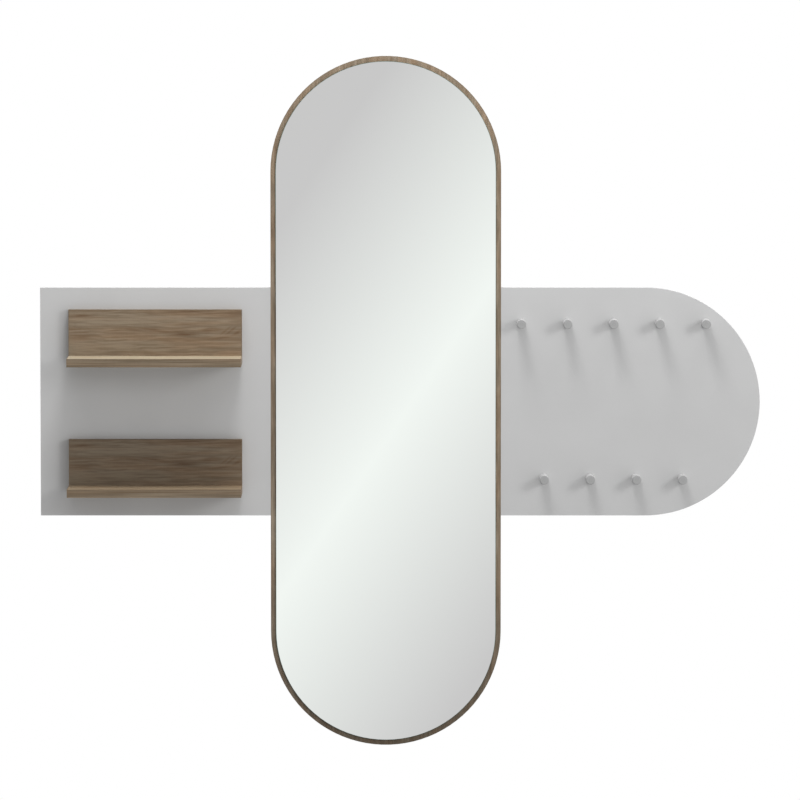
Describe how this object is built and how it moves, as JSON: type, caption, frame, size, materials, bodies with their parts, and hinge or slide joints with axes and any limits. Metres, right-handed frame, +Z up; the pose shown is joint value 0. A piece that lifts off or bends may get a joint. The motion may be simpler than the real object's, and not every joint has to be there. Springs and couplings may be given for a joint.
{
  "type": "coat rack with mirror",
  "caption": "Wall-hung hall panel: a pill-shaped mirror on an oak-decor board, between a pale panel with small shelves and a round-ended pale panel with turned coat pegs.",
  "frame": {"origin": "on the wall plane, behind the centre of the mirror", "axes": "+X to the right as seen from the room, +Y into the wall, +Z up"},
  "size_m": [1.562, 0.144, 1.4996],
  "materials": {
    "panel_melamine": "matte",
    "panel_edging": "matte",
    "oak_melamine": "matte",
    "oak_edging": "matte",
    "mirror_silver": "polished",
    "mounting_tape": "matte",
    "peg_metal": "satin",
    "zinc_steel": "satin",
    "beech_dowel": "matte",
    "bumper_rubber": "matte"
  },
  "bodies": {
    "root": {"left_panel": "panel_melamine", "right_panel": "panel_melamine", "left_panel_edging": "panel_edging", "right_panel_edging": "panel_edging", "mirror_board": "oak_melamine", "upper_shelf_board": "oak_melamine", "upper_shelf_back": "oak_melamine", "lower_shelf_board": "oak_melamine", "lower_shelf_back": "oak_melamine", "mirror_board_edging": "oak_edging", "upper_shelf_board_edging": "oak_edging", "upper_shelf_back_edging": "oak_edging", "lower_shelf_board_edging": "oak_edging", "lower_shelf_back_edging": "oak_edging", "mirror_glass": "mirror_silver", "mirror_tapes": "mounting_tape", "upper_peg_1": "peg_metal", "upper_peg_2": "peg_metal", "upper_peg_3": "peg_metal", "upper_peg_4": "peg_metal", "upper_peg_5": "peg_metal", "lower_peg_1": "peg_metal", "lower_peg_2": "peg_metal", "lower_peg_3": "peg_metal", "lower_peg_4": "peg_metal", "peg_screws": "zinc_steel", "shelf_board_screws": "zinc_steel", "shelf_back_screws": "zinc_steel", "plate_screws": "zinc_steel", "left_joining_plate_upper": "zinc_steel", "left_joining_plate_lower": "zinc_steel", "right_joining_plate_upper": "zinc_steel", "right_joining_plate_lower": "zinc_steel", "mirror_hanger_left": "zinc_steel", "mirror_hanger_right": "zinc_steel", "left_panel_hanger": "zinc_steel", "right_panel_hanger": "zinc_steel", "left_joint_dowels": "beech_dowel", "right_joint_dowels": "beech_dowel", "upper_shelf_dowels": "beech_dowel", "lower_shelf_dowels": "beech_dowel", "wall_bumpers": "bumper_rubber"}
  },
  "joints": []
}
